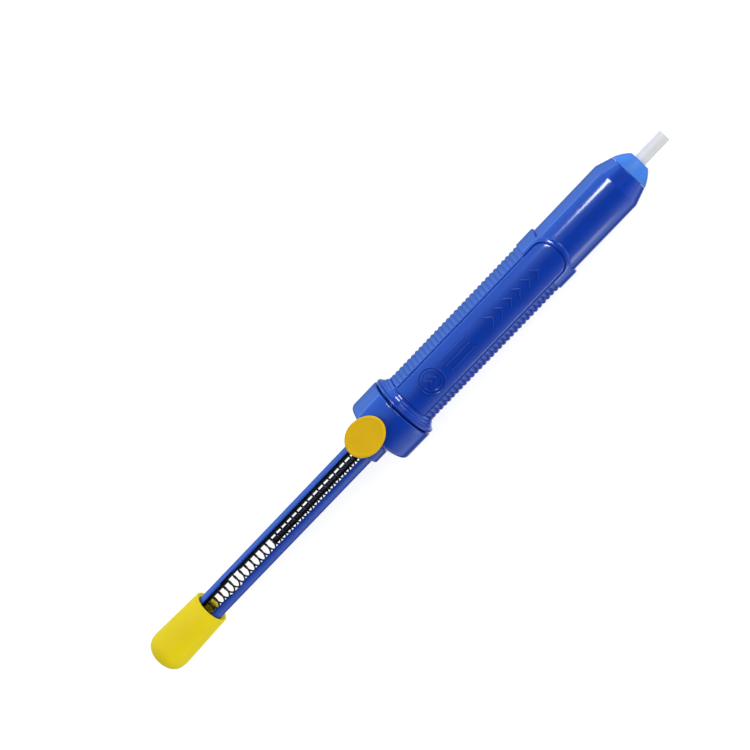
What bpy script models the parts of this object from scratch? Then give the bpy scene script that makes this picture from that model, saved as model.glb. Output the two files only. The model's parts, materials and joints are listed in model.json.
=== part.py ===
"""Desoldering pump: a spring-driven piston in a moulded barrel, cocked by a knob and freed by a button.

The pump lies along X with its nozzle towards +X, on the surface Z = 0, with its release button on top.
Lengths are in millimetres; MM turns them into Blender's metres where a mesh is made. X positions count
from a datum just behind the middle of the released pump, and radii and heights from its axis.
"""

import math

import bmesh
import bpy
from mathutils import Matrix, Vector

MM = 0.001
GAP = 0.3  # left between pieces that touch
SEGMENTS = 32  # facets round a large turned piece
SMALL_SEGMENTS = 20

# The pump as a whole
LENGTH = 364.5
COLLAR_RADIUS = 18.6  # the widest part, which the pump lies on
AXIS_HEIGHT = COLLAR_RADIUS
COLLAR_TURN = -13.5  # degrees about X from the grip's panels to the button
BUTTON_TRAVEL = 2.0
UNLOCK_TURN = 45.0  # degrees that the collar turns to free its bayonet

# Nozzle and nose cap
NOZZLE_TIP = 183.0
MIDDLE = NOZZLE_TIP - LENGTH / 2  # the middle of the pump, from the datum
NOZZLE_RADIUS = 3.175  # quarter-inch tube
NOZZLE_BORE = 1.35
NOZZLE_FLANGE_RADIUS = 4.6
NOZZLE_FLANGE = (152.3, 154.3)
NOSE_FRONT = NOZZLE_TIP - 16.5
NOSE_FRONT_RADIUS = 5.4
NOSE_REAR_RADIUS = 10.55
NOSE_BORE = NOZZLE_RADIUS + 0.33
NOSE_SPIGOT_RADIUS = 7.95
NOSE_SPIGOT_REAR = 149.3
NOSE_POCKET_RADIUS = NOZZLE_FLANGE_RADIUS + 0.6
NOSE_ORING_X = 152.1
NOZZLE_ORING_X = 157.8

# Barrel
BARREL_FRONT = 158.9
BARREL_BORE = 10.6
BORE_FRONT = 147.0
FRONT_OPENING = NOSE_SPIGOT_RADIUS + 0.35
FRONT_RADIUS = 13.5
TAPER_REAR = 150.4
BAND_RADIUS = 15.0
BAND_FRONT = 108.9
BAND_REAR = 97.5
GRIP_RADIUS = 14.5
GRIP_REAR = 7.4
GROOVE_DEPTH = 0.6
RIB_COUNT = 32
PANEL_RADIUS = 14.95
PANEL_HALF_WIDTH = 9.3
PANEL_REAR = 7.8
PANEL_FRONT = 113.0
PANEL_ARCH = 9.0  # length of the panel's rounded front end
FLANGE_RADIUS = 18.3
FLANGE_REAR = 1.7
FLANGE_FOOT = 16.8  # radius of the flange where it meets the collar
SPIGOT_RADIUS = 14.6
SPIGOT_REAR = -7.2
LUG_RADIUS = 16.2
LUG_HALF_WIDTH = 2.8
LUG_X = (-6.1, -3.7)

# Collar
COLLAR_FRONT = 1.3
SHOULDER_X = -14.5
BOSS_FRONT = -19.6
BOSS_REAR = -27.6
BOSS_RADIUS = 9.45
SHAFT_RADIUS = 7.25
COLLAR_BORE = SHAFT_RADIUS + 0.35
SOCKET_RADIUS = SPIGOT_RADIUS + 0.4
SOCKET_REAR = -8.0
BAYONET_RADIUS = 16.8
HUB_RADIUS = BARREL_BORE - GAP
HUB_FRONT = -3.2

# Latch and button
SLOT_HALF_WIDTH = 3.55
LATCH_X = (-15.6, -13.6)
LATCH_HALF_WIDTH = 8.85
LATCH_WINDOW_HALF_WIDTH = SHAFT_RADIUS + 0.35
LATCH_TOP = 12.0
LATCH_WINDOW_TOP = SHAFT_RADIUS + BUTTON_TRAVEL + 0.45
LATCH_WINDOW_BOTTOM = -8.65
LATCH_BOTTOM = -10.45
TOOTH_TOP = -6.65
TOOTH_HALF_WIDTH = 4.1
TAB_TOP = 17.0
TAB_HALF_WIDTH = 2.5
SHANK_X = (-16.8, -12.8)
SHANK_HALF_WIDTH = 4.0
BUTTON_CENTRE = -17.9
BUTTON_FRONT_HALF = 11.8
BUTTON_REAR_HALF = 10.6
BUTTON_HALF_WIDTH = 9.15
BUTTON_FACE = 23.5
BUTTON_UNDERSIDE = 21.1
BUTTON_SPRING_X = -10.2
BUTTON_SPRING_WIRE = 0.2
BUTTON_SPRING_RADIUS = 1.35
BUTTON_SPRING_TURNS = 6
WELL_FLOOR = 12.5
WELL_RADIUS = 1.85
PEG_RADIUS = 0.8

# Stop bar, main spring and guide rod
STOP_BAR_X = (-8.0, -5.2)
STOP_BAR_HALF_LENGTH = 9.9
ROD_RADIUS = 1.45
ROD_HOLE = ROD_RADIUS + GAP
ROD_REAR = -94.7
ROD_FRONT = 7.2
BUMPER_X = (-4.9, -3.1)
SPRING_WIRE = 0.42
SPRING_RADIUS = 2.95
SPRING_TURNS = 40

# Plunger
SLOT_FRONT = -2.8
SHAFT_FRONT = 23.0
SHAFT_REAR = -162.5
BULKHEAD_FRONT = 3.0
SHAFT_FRONT_BORE = 4.6
POCKET_X = (-128.1, -119.3)
POCKET_HALF_WIDTH = 4.3
BARB_X = (-160.6, -158.2)
BARB_RADIUS = 7.85

# Knob
KNOB_MOUTH = -142.1
KNOB_MOUTH_RADIUS = 9.8
KNOB_WIDEST_X = -174.2
KNOB_WIDEST_RADIUS = 11.05
KNOB_REAR = NOZZLE_TIP - LENGTH
KNOB_END_FLAT = 4.5
KNOB_HOLLOW_REAR = -162.8
KNOB_SPIGOT_FRONT = -146.0
KNOB_SPIGOT_RADIUS = 2.0

# Piston and cleaning pin
PISTON_X = (23.3, 34.7)
PISTON_RADIUS = 10.2
PISTON_ORING_X = 29.0
WASHER_X = (35.0, 36.0)
WASHER_RADIUS = 6.5
PIN_TIP = 77.5
PIN_RADIUS = 1.0
PIN_BASE_X = (13.6, 40.8)


def clear_scene():
    for obj in list(bpy.data.objects):
        bpy.data.objects.remove(obj, do_unlink=True)


def collection_named(name):
    collection = bpy.data.collections.new(name)
    bpy.context.scene.collection.children.link(collection)
    return collection


def material_named(name, colour, roughness, metallic=0.0):
    material = bpy.data.materials.new(name)
    material.use_nodes = True
    shader = material.node_tree.nodes["Principled BSDF"]
    shader.inputs["Base Color"].default_value = (*colour, 1.0)
    shader.inputs["Roughness"].default_value = roughness
    shader.inputs["Metallic"].default_value = metallic
    material.diffuse_color = (*colour, 1.0)
    return material


def axis_empty(name, parent=None, turn=0.0):
    """An empty on the pump's axis, or turned about it under another one."""
    empty = bpy.data.objects.new(name, None)
    empty.empty_display_size = 10 * MM
    empty.rotation_euler.x = math.radians(turn)
    if parent is None:
        empty.location = (-MIDDLE * MM, 0, AXIS_HEIGHT * MM)
    else:
        empty.parent = parent
    PARTS.objects.link(empty)
    return empty


def place(obj, parent, material=None):
    """Puts a finished object among the parts, or among the cutters where it has no material."""
    obj.parent = parent
    if material is None:
        obj.hide_render = True
        obj.display_type = "WIRE"
        CUTTERS.objects.link(obj)
    else:
        obj.data.materials.append(material)
        PARTS.objects.link(obj)
    return obj


def turned(name, outline, parent, material=None, segments=SEGMENTS):
    """A solid turned about the axis from (x, radius) points. They run from front to rear on the outside and
    back through the bore. An outline that starts and ends on the axis stays open there."""
    mesh = bpy.data.meshes.new(name)
    edges = [(i, i + 1) for i in range(len(outline) - 1)]
    if outline[0][1] > 0:
        edges.append((len(outline) - 1, 0))
    mesh.from_pydata([(radius * MM, 0, x * MM) for x, radius in outline], edges, [])
    obj = bpy.data.objects.new(name, mesh)
    obj.rotation_euler.y = math.radians(90)  # the profile's Z becomes the pump's X
    screw = obj.modifiers.new("Turn", "SCREW")
    screw.axis = "Z"
    screw.steps = segments
    screw.render_steps = segments
    screw.use_merge_vertices = True
    screw.merge_threshold = 0.00001
    return place(obj, parent, material)


def block(name, low, high, parent, material=None):
    """A box between two corners, each (x, y, height above the axis)."""
    low = Vector(low) * MM
    high = Vector(high) * MM
    shape = bmesh.new()
    bmesh.ops.create_cube(shape, size=1)
    bmesh.ops.scale(shape, vec=high - low, verts=shape.verts)
    bmesh.ops.translate(shape, vec=(low + high) / 2, verts=shape.verts)
    mesh = bpy.data.meshes.new(name)
    shape.to_mesh(mesh)
    shape.free()
    return place(bpy.data.objects.new(name, mesh), parent, material)


def prism(name, low, high, radius, segments, axis, centre, parent, material=None):
    """A cylinder, or a hexagon with six segments, from low to high along X or Z."""
    shape = bmesh.new()
    bmesh.ops.create_cone(
        shape, cap_ends=True, segments=segments, radius1=radius * MM, radius2=radius * MM, depth=(high - low) * MM
    )
    bmesh.ops.translate(shape, vec=(0, 0, (low + high) / 2 * MM), verts=shape.verts)
    if axis == "X":
        bmesh.ops.rotate(shape, matrix=Matrix.Rotation(math.radians(90), 3, "Y"), verts=shape.verts)
    bmesh.ops.translate(shape, vec=Vector(centre) * MM, verts=shape.verts)
    mesh = bpy.data.meshes.new(name)
    shape.to_mesh(mesh)
    shape.free()
    return place(bpy.data.objects.new(name, mesh), parent, material)


def flat(name, outlines, low, high, upright, parent, material=None):
    """A flat outline, with any windows in it, given a thickness from low to high. It lies in the pump's XY plane,
    or stands across the axis (its points are then y and height)."""
    curve = bpy.data.curves.new(name, "CURVE")
    curve.dimensions = "2D"
    curve.fill_mode = "BOTH"
    curve.extrude = (high - low) / 2 * MM
    for outline in outlines:
        spline = curve.splines.new("POLY")
        spline.points.add(len(outline) - 1)
        for point, (a, b) in zip(spline.points, outline):
            point.co = (a * MM, b * MM, 0, 1)
        spline.use_cyclic_u = True
    middle = (low + high) / 2 * MM
    obj = bpy.data.objects.new(name, curve)
    if upright:
        matrix = Matrix.Translation((middle, 0, 0)) @ Matrix(((0, 0, 1, 0), (1, 0, 0, 0), (0, 1, 0, 0), (0, 0, 0, 1)))
    else:
        matrix = Matrix.Translation((0, 0, middle))
    return place(as_mesh(obj, matrix), parent, material)


def as_mesh(curve_object, matrix=None):
    """The mesh that a curve draws, with its caps welded on, as a new object in the curve's place."""
    bpy.context.scene.collection.objects.link(curve_object)
    graph = bpy.context.evaluated_depsgraph_get()
    mesh = bpy.data.meshes.new_from_object(curve_object.evaluated_get(graph))
    shape = bmesh.new()
    shape.from_mesh(mesh)
    bmesh.ops.remove_doubles(shape, verts=shape.verts, dist=0.000001)
    bmesh.ops.recalc_face_normals(shape, faces=shape.faces)
    if matrix is not None:
        bmesh.ops.transform(shape, matrix=matrix, verts=shape.verts)
    shape.to_mesh(mesh)
    shape.free()
    name = curve_object.name
    bpy.data.objects.remove(curve_object)
    return bpy.data.objects.new(name, mesh)


def coil(name, start, along, length, radius, turns, wire, parent, material):
    """A compression spring of round wire from start along a direction, as one bevelled polyline."""
    points_a_turn = 7
    along = Vector(along).normalized()
    across = along.orthogonal().normalized()
    third = along.cross(across)
    count = turns * points_a_turn + 1
    curve = bpy.data.curves.new(name, "CURVE")
    curve.dimensions = "3D"
    curve.bevel_depth = wire * MM
    curve.bevel_resolution = 0
    curve.use_fill_caps = True
    spline = curve.splines.new("POLY")
    spline.points.add(count - 1)
    for i, point in enumerate(spline.points):
        angle = 2 * math.pi * i / points_a_turn
        place_along = wire + (length - 2 * wire) * i / (count - 1)
        offset = (across * math.cos(angle) + third * math.sin(angle)) * radius
        point.co = (*((Vector(start) + along * place_along + offset) * MM), 1)
    return place(as_mesh(bpy.data.objects.new(name, curve)), parent, material)


def ring(name, x, radius, tube, parent, material):
    """An O-ring: a round section turned about the axis."""
    sides = 6
    angles = [2 * math.pi * i / sides for i in range(sides)]
    outline = [(x + tube * math.cos(a), radius + tube * math.sin(a)) for a in angles]
    return turned(name, outline, parent, material, SMALL_SEGMENTS)


def boolean(obj, operation, other):
    modifier = obj.modifiers.new(operation.title() + " " + other.name, "BOOLEAN")
    modifier.operation = operation
    modifier.object = other


def arc(centre_x, centre_y, half_length, half_width, start, end, steps):
    """Points on part of an ellipse, from one angle to another in degrees."""
    angles = [math.radians(start + (end - start) * i / steps) for i in range(steps + 1)]
    return [(centre_x + half_length * math.cos(a), centre_y + half_width * math.sin(a)) for a in angles]


def mirrored(half):
    """A closed outline from the half at positive y that runs from one end of the X axis to the other."""
    return half + [(x, -y) for x, y in reversed(half)]


def panel_outline(spare=0.0):
    """The grip panel from above: square at the rear, arched in front, widened all round by spare."""
    half_width = PANEL_HALF_WIDTH + spare
    arch_x = PANEL_FRONT - PANEL_ARCH
    quarter = arc(arch_x, 0, PANEL_ARCH + spare, half_width, 8, 90, 7)
    return mirrored(quarter + [(PANEL_REAR - spare, half_width)])


def make_barrel(parent, material):
    outline = [
        (BARREL_FRONT - GAP / 2, NOSE_REAR_RADIUS),
        (TAPER_REAR, FRONT_RADIUS),
        (BAND_FRONT + 0.3, FRONT_RADIUS),
        (BAND_FRONT, BAND_RADIUS - 0.2),
        (BAND_FRONT - 0.3, BAND_RADIUS),
        (BAND_REAR, BAND_RADIUS),
        (BAND_REAR - 0.4, GRIP_RADIUS),
        (GRIP_REAR, GRIP_RADIUS),
        (6.1, 15.4),
        (4.7, 16.4),
        (3.3, FLANGE_RADIUS),
        (2.5, FLANGE_RADIUS),
        (2.2, FLANGE_FOOT),
        (FLANGE_REAR, FLANGE_FOOT),
        (FLANGE_REAR, SPIGOT_RADIUS),
        (SPIGOT_REAR, SPIGOT_RADIUS),
        (SPIGOT_REAR, BARREL_BORE),
        (BORE_FRONT, BARREL_BORE),
        (BORE_FRONT, FRONT_OPENING),
        (BARREL_FRONT - GAP / 2, FRONT_OPENING),
    ]
    barrel = turned("barrel", outline, parent, material)
    for side in (-1, 1):
        ends = sorted((side * (SPIGOT_RADIUS - 1.5), side * LUG_RADIUS))
        low = (LUG_X[0], ends[0], -LUG_HALF_WIDTH)
        high = (LUG_X[1], ends[1], LUG_HALF_WIDTH)
        boolean(barrel, "UNION", block(f"lug_{side:+d}", low, high, parent))
    boolean(barrel, "UNION", make_panels(parent))
    boolean(barrel, "DIFFERENCE", make_rib_cutter(parent))
    return barrel


def make_rib_cutter(parent):
    """A sleeve with a saw-toothed bore that leaves the grip's ribs, and spares the panels."""
    pitch = (BAND_REAR - 0.6 - GRIP_REAR - 0.6) / RIB_COUNT
    teeth = []
    for i in range(RIB_COUNT):
        rear = GRIP_REAR + 0.6 + i * pitch
        teeth.append((rear, GRIP_RADIUS - 0.05))
        teeth.append((rear + pitch / 2, GRIP_RADIUS - GROOVE_DEPTH))
    end = teeth[0][0] + RIB_COUNT * pitch
    sleeve = [(end, 17.0), (teeth[0][0], 17.0), *teeth, (end, GRIP_RADIUS - 0.05)]
    cutter = turned("rib_cutter", sleeve, parent)
    boolean(cutter, "DIFFERENCE", flat("panels_spared", [panel_outline(0.2)], -20, 20, False, parent))
    return cutter


def make_panels(parent):
    """Both grip panels, the one on top and the one below, as the part of a sleeve inside the outline."""
    inner = BARREL_BORE + 1.5
    front = PANEL_FRONT + 1
    rear = PANEL_REAR - 1
    sleeve = [(front, PANEL_RADIUS), (rear, PANEL_RADIUS), (rear, inner), (front, inner)]
    panels = turned("panels", sleeve, parent)
    boolean(panels, "INTERSECT", flat("panel_outline", [panel_outline()], -20, 20, False, parent))
    return panels


def make_nose_cap(parent, material):
    dome = [(159.05, NOSE_REAR_RADIUS), (161.4, 9.3), (163.9, 7.7), (165.9, 6.0), (NOSE_FRONT, NOSE_FRONT_RADIUS)]
    outline = [
        *reversed(dome),
        (BARREL_FRONT + GAP / 2, NOSE_SPIGOT_RADIUS),
        (NOSE_ORING_X + 0.9, NOSE_SPIGOT_RADIUS),
        (NOSE_ORING_X + 0.9, NOSE_SPIGOT_RADIUS - 1.25),
        (NOSE_ORING_X - 0.9, NOSE_SPIGOT_RADIUS - 1.25),
        (NOSE_ORING_X - 0.9, NOSE_SPIGOT_RADIUS),
        (NOSE_SPIGOT_REAR, NOSE_SPIGOT_RADIUS),
        (NOSE_SPIGOT_REAR, NOSE_POCKET_RADIUS),
        (NOZZLE_FLANGE[1] + GAP, NOSE_POCKET_RADIUS),
        (NOZZLE_FLANGE[1] + GAP, NOSE_BORE),
        (NOZZLE_ORING_X - 0.8, NOSE_BORE),
        (NOZZLE_ORING_X - 0.8, NOSE_BORE + 1.25),
        (NOZZLE_ORING_X + 0.8, NOSE_BORE + 1.25),
        (NOZZLE_ORING_X + 0.8, NOSE_BORE),
        (NOSE_FRONT, NOSE_BORE),
    ]
    return turned("nose_cap", outline, parent, material)


def make_nozzle(parent, material):
    outline = [
        (NOZZLE_TIP, NOZZLE_RADIUS - 0.15),
        (NOZZLE_TIP - 0.15, NOZZLE_RADIUS),
        (NOZZLE_FLANGE[1], NOZZLE_RADIUS),
        (NOZZLE_FLANGE[1], NOZZLE_FLANGE_RADIUS),
        (NOZZLE_FLANGE[0], NOZZLE_FLANGE_RADIUS),
        (NOZZLE_FLANGE[0], NOZZLE_BORE),
        (NOZZLE_TIP, NOZZLE_BORE),
    ]
    return turned("nozzle", outline, parent, material, SMALL_SEGMENTS)


def make_collar(parent, material):
    outline = [
        (COLLAR_FRONT, COLLAR_RADIUS - 0.4),
        (COLLAR_FRONT - 0.4, COLLAR_RADIUS),
        (SHOULDER_X, COLLAR_RADIUS),
        (-15.7, 18.0),
        (-16.6, 16.2),
        (-17.4, 13.8),
        (-18.2, 11.4),
        (-19.0, 10.0),
        (BOSS_FRONT, BOSS_RADIUS),
        (BOSS_REAR + 0.4, BOSS_RADIUS),
        (BOSS_REAR, BOSS_RADIUS - 0.4),
        (BOSS_REAR, COLLAR_BORE),
        (HUB_FRONT, COLLAR_BORE),
        (HUB_FRONT, HUB_RADIUS),
        (SOCKET_REAR, HUB_RADIUS),
        (SOCKET_REAR, SOCKET_RADIUS),
        (LUG_X[0] - 0.4, SOCKET_RADIUS),
        (LUG_X[0] - 0.4, BAYONET_RADIUS),
        (LUG_X[1] + 0.4, BAYONET_RADIUS),
        (LUG_X[1] + 0.4, SOCKET_RADIUS),
        (COLLAR_FRONT, SOCKET_RADIUS),
    ]
    collar = turned("collar", outline, parent, material)
    outside = COLLAR_RADIUS + 1
    cutters = [
        block(
            "latch_pocket",
            (LATCH_X[0] - GAP, -LATCH_HALF_WIDTH - GAP, -outside),
            (LATCH_X[1] + GAP, LATCH_HALF_WIDTH + GAP, LATCH_TOP + GAP),
            parent,
        ),
        block(
            "shank_opening",
            (SHANK_X[0] - GAP, -SHANK_HALF_WIDTH - GAP, LATCH_TOP - BUTTON_TRAVEL - 0.1),
            (SHANK_X[1] + GAP, SHANK_HALF_WIDTH + GAP, outside),
            parent,
        ),
        block(
            "stop_bar_window",
            (STOP_BAR_X[0] - GAP, -SLOT_HALF_WIDTH, -HUB_RADIUS - 0.2),
            (STOP_BAR_X[1] + GAP, SLOT_HALF_WIDTH, HUB_RADIUS + 0.2),
            parent,
        ),
        prism("spring_well", WELL_FLOOR, outside, WELL_RADIUS, 16, "Z", (BUTTON_SPRING_X, 0, 0), parent),
        entry_channels(parent),
    ]
    for cutter in cutters:
        boolean(collar, "DIFFERENCE", cutter)
    return collar


def entry_channels(parent):
    """The two straight channels that let the bayonet lugs in, a turn of the collar away from the lugs."""
    half_width = LUG_HALF_WIDTH + 0.8
    low = (LUG_X[0], -BAYONET_RADIUS + 0.3, -half_width)
    high = (COLLAR_FRONT + 1, BAYONET_RADIUS - 0.3, half_width)
    turn = axis_empty("entry_channel_turn", parent, -UNLOCK_TURN - COLLAR_TURN)
    channels = block("entry_channels", low, high, turn)
    spared = prism("channel_core", LUG_X[0] - 1, COLLAR_FRONT + 2, SOCKET_RADIUS - 0.4, 32, "X", (0, 0, 0), turn)
    boolean(channels, "DIFFERENCE", spared)
    return channels


def make_stop_bar(parent, material):
    half_width = SLOT_HALF_WIDTH - GAP
    low = (STOP_BAR_X[0], -half_width, -STOP_BAR_HALF_LENGTH)
    high = (STOP_BAR_X[1], half_width, STOP_BAR_HALF_LENGTH)
    bar = block("spring_stop_bar", low, high, parent, material)
    boolean(bar, "DIFFERENCE", prism("stop_bar_hole", -10, -3, ROD_HOLE, 16, "X", (0, 0, 0), parent))
    return bar


def button_outline():
    """The button from above: an egg, with its longer half in front."""
    front = arc(BUTTON_CENTRE, 0, BUTTON_FRONT_HALF, BUTTON_HALF_WIDTH, 4, 90, 8)
    rear = arc(BUTTON_CENTRE, 0, BUTTON_REAR_HALF, BUTTON_HALF_WIDTH, 101, 176, 7)
    return mirrored(front + rear)


def make_button(parent, material):
    button = flat("release_button", [button_outline()], BUTTON_UNDERSIDE, BUTTON_FACE, False, parent, material)
    bevel = button.modifiers.new("Rim", "BEVEL")
    bevel.width = 0.7 * MM
    bevel.segments = 2
    bevel.limit_method = "ANGLE"
    bevel.angle_limit = math.radians(50)
    shank = block(
        "button_shank",
        (SHANK_X[0], -SHANK_HALF_WIDTH, LATCH_TOP + GAP),
        (SHANK_X[1], SHANK_HALF_WIDTH, BUTTON_UNDERSIDE + 0.8),
        parent,
    )
    peg = prism("spring_peg", 18.3, BUTTON_UNDERSIDE + 0.8, PEG_RADIUS, 12, "Z", (BUTTON_SPRING_X, 0, 0), parent)
    tab_slot = block(
        "tab_slot",
        (LATCH_X[0] - GAP, -TAB_HALF_WIDTH - GAP, LATCH_TOP - 1),
        (LATCH_X[1] + GAP, TAB_HALF_WIDTH + GAP, TAB_TOP + GAP),
        parent,
    )
    boolean(button, "UNION", shank)
    boolean(button, "UNION", peg)
    boolean(button, "DIFFERENCE", tab_slot)
    return button


def make_latch_plate(parent, material):
    """The plate stands across the axis: a window round the shaft, a tooth below it and a tab up into the shank."""
    outer_half = [
        (TAB_HALF_WIDTH, TAB_TOP),
        (TAB_HALF_WIDTH, LATCH_TOP),
        (LATCH_HALF_WIDTH, LATCH_TOP),
        (LATCH_HALF_WIDTH, LATCH_BOTTOM),
    ]
    window_half = [
        (LATCH_WINDOW_HALF_WIDTH, LATCH_WINDOW_TOP),
        (LATCH_WINDOW_HALF_WIDTH, LATCH_WINDOW_BOTTOM),
        (TOOTH_HALF_WIDTH, LATCH_WINDOW_BOTTOM),
        (TOOTH_HALF_WIDTH, TOOTH_TOP),
    ]
    outlines = [half + [(-y, z) for y, z in reversed(half)] for half in (outer_half, window_half)]
    return flat("latch_plate", outlines, *LATCH_X, True, parent, material)


def make_shaft(parent, material):
    outline = [
        (SHAFT_FRONT, SHAFT_RADIUS - 0.3),
        (SHAFT_FRONT - 0.3, SHAFT_RADIUS),
        (BARB_X[1], SHAFT_RADIUS),
        (BARB_X[1] - 0.4, BARB_RADIUS),
        (BARB_X[0], SHAFT_RADIUS),
        (SHAFT_REAR, SHAFT_RADIUS - 0.7),
        (SHAFT_REAR, ROD_HOLE),
        (BULKHEAD_FRONT, ROD_HOLE),
        (BULKHEAD_FRONT, SHAFT_FRONT_BORE),
        (SHAFT_FRONT, SHAFT_FRONT_BORE),
    ]
    shaft = turned("plunger_shaft", outline, parent, material)
    slot = block(
        "slot", (SHAFT_REAR - 1, -SLOT_HALF_WIDTH, -SHAFT_RADIUS - 1), (SLOT_FRONT, SLOT_HALF_WIDTH, SHAFT_RADIUS + 1),
        parent,
    )
    pocket = block(
        "latch_notch", (POCKET_X[0], -POCKET_HALF_WIDTH, -SHAFT_RADIUS - 1),
        (POCKET_X[1], POCKET_HALF_WIDTH, SHAFT_RADIUS + 1), parent,
    )
    boolean(shaft, "DIFFERENCE", slot)
    boolean(shaft, "DIFFERENCE", pocket)
    return shaft


def make_knob(parent, material):
    hollow = COLLAR_BORE
    outline = [
        (KNOB_SPIGOT_FRONT, 0),
        (KNOB_SPIGOT_FRONT, KNOB_SPIGOT_RADIUS - 0.4),
        (KNOB_SPIGOT_FRONT - 0.6, KNOB_SPIGOT_RADIUS),
        (KNOB_HOLLOW_REAR, KNOB_SPIGOT_RADIUS),
        (KNOB_HOLLOW_REAR, hollow),
        (BARB_X[0] - 0.4, hollow),
        (BARB_X[0] - 0.4, BARB_RADIUS + 0.35),
        (BARB_X[1] + 0.1, BARB_RADIUS + 0.35),
        (BARB_X[1] + 0.4, hollow),
        (KNOB_MOUTH - 0.8, hollow),
        (KNOB_MOUTH, KNOB_MOUTH_RADIUS - 0.5),
        (KNOB_MOUTH, KNOB_MOUTH_RADIUS),
        (KNOB_WIDEST_X, KNOB_WIDEST_RADIUS),
        (-177.2, 10.4),
        (-179.2, 9.0),
        (-180.7, 7.0),
        (KNOB_REAR, KNOB_END_FLAT),
        (KNOB_REAR, 0),
    ]
    return turned("knob", outline, parent, material)


def make_rod(parent, material):
    outline = [
        (ROD_FRONT, 0),
        (ROD_FRONT, ROD_RADIUS - 0.3),
        (ROD_FRONT - 0.3, ROD_RADIUS),
        (ROD_REAR + 0.5, ROD_RADIUS),
        (ROD_REAR, ROD_RADIUS - 0.5),
        (ROD_REAR, 0),
    ]
    return turned("guide_rod", outline, parent, material, 16)


def make_nut(name, low, high, across_corners, parent, material):
    nut = prism(name, low, high, across_corners / 2, 6, "X", (0, 0, 0), parent, material)
    boolean(nut, "DIFFERENCE", prism(name + "_hole", low - 1, high + 1, ROD_HOLE, 16, "X", (0, 0, 0), parent))
    return nut


def sleeve(name, x_range, outer, inner, parent, material):
    low, high = x_range
    outline = [(high, outer), (low, outer), (low, inner), (high, inner)]
    return turned(name, outline, parent, material, SMALL_SEGMENTS)


def make_piston(parent, material):
    rear, front = PISTON_X
    groove = (PISTON_ORING_X - 1.4, PISTON_ORING_X + 1.4)
    outline = [
        (front, PISTON_RADIUS - 0.4),
        (front - 0.4, PISTON_RADIUS),
        (groove[1], PISTON_RADIUS),
        (groove[1], PISTON_RADIUS - 2),
        (groove[0], PISTON_RADIUS - 2),
        (groove[0], PISTON_RADIUS),
        (rear + 0.4, PISTON_RADIUS),
        (rear, PISTON_RADIUS - 0.4),
        (rear, SHAFT_FRONT_BORE - GAP),
        (rear - 10, SHAFT_FRONT_BORE - GAP),
        (rear - 10, ROD_HOLE),
        (front, ROD_HOLE),
    ]
    return turned("piston", outline, parent, material, 28)


def make_cleaning_pin(parent, material):
    outline = [
        (PIN_TIP, 0),
        (PIN_TIP, 0.3),
        (PIN_TIP - 2, PIN_RADIUS),
        (PIN_BASE_X[1], PIN_RADIUS),
        (PIN_BASE_X[1] - 0.5, ROD_RADIUS),
        (PIN_BASE_X[0], ROD_RADIUS),
        (PIN_BASE_X[0], 0),
    ]
    return turned("cleaning_pin", outline, parent, material, 12)


def make_springs(collar_axis, material):
    rear = KNOB_HOLLOW_REAR + GAP
    front = STOP_BAR_X[0] - GAP
    coil("main_spring", (front, 0, 0), (-1, 0, 0), front - rear, SPRING_RADIUS, SPRING_TURNS, SPRING_WIRE,
         collar_axis, material)
    low = WELL_FLOOR + GAP
    high = BUTTON_UNDERSIDE - GAP
    coil("button_spring", (BUTTON_SPRING_X, 0, low), (0, 0, 1), high - low, BUTTON_SPRING_RADIUS,
         BUTTON_SPRING_TURNS, BUTTON_SPRING_WIRE, collar_axis, material)


def make_pump():
    gloss_blue = material_named("gloss_blue", (0.010, 0.060, 0.370), 0.28)
    satin_blue = material_named("satin_blue", (0.035, 0.200, 0.800), 0.42)
    yellow = material_named("yellow", (0.800, 0.640, 0.020), 0.50)
    button_yellow = material_named("button_yellow", (0.700, 0.420, 0.010), 0.45)
    ptfe = material_named("ptfe", (0.80, 0.81, 0.82), 0.45)
    piston_grey = material_named("piston_grey", (0.30, 0.31, 0.33), 0.50)
    rubber = material_named("rubber", (0.020, 0.020, 0.022), 0.75)
    blackened_steel = material_named("blackened_steel", (0.030, 0.030, 0.034), 0.35, 1.0)
    bright_steel = material_named("bright_steel", (0.60, 0.60, 0.62), 0.30, 1.0)

    barrel_axis = axis_empty("barrel_axis")
    collar_axis = axis_empty("collar_axis", barrel_axis, COLLAR_TURN)
    plunger_axis = axis_empty("plunger_axis", collar_axis)
    button_axis = axis_empty("button_axis", collar_axis)

    make_barrel(barrel_axis, gloss_blue)
    make_nose_cap(barrel_axis, satin_blue)
    ring("nose_cap_oring", NOSE_ORING_X, 7.5, 0.5, barrel_axis, rubber)
    make_nozzle(barrel_axis, ptfe)
    ring("nozzle_oring", NOZZLE_ORING_X, 3.98, 0.45, barrel_axis, rubber)

    make_collar(collar_axis, gloss_blue)
    make_stop_bar(collar_axis, bright_steel)
    make_springs(collar_axis, blackened_steel)
    make_button(button_axis, button_yellow)
    make_latch_plate(button_axis, bright_steel)

    make_shaft(plunger_axis, gloss_blue)
    make_knob(plunger_axis, yellow)
    make_rod(plunger_axis, blackened_steel)
    make_nut("rod_nut", BULKHEAD_FRONT + GAP, BULKHEAD_FRONT + 2.9, 5.8, plunger_axis, bright_steel)
    sleeve("stop_bumper", BUMPER_X, SLOT_HALF_WIDTH - 0.35, ROD_HOLE, plunger_axis, rubber)
    make_piston(plunger_axis, piston_grey)
    ring("piston_oring", PISTON_ORING_X, 9.4, 0.95, plunger_axis, rubber)
    sleeve("piston_washer", WASHER_X, WASHER_RADIUS, ROD_HOLE, plunger_axis, bright_steel)
    make_nut("pin_nut", WASHER_X[1] + GAP, WASHER_X[1] + 2.7, 6.2, plunger_axis, bright_steel)
    make_cleaning_pin(plunger_axis, bright_steel)


clear_scene()
PARTS = collection_named("Desoldering pump")
CUTTERS = collection_named("Cutters")
make_pump()
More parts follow.
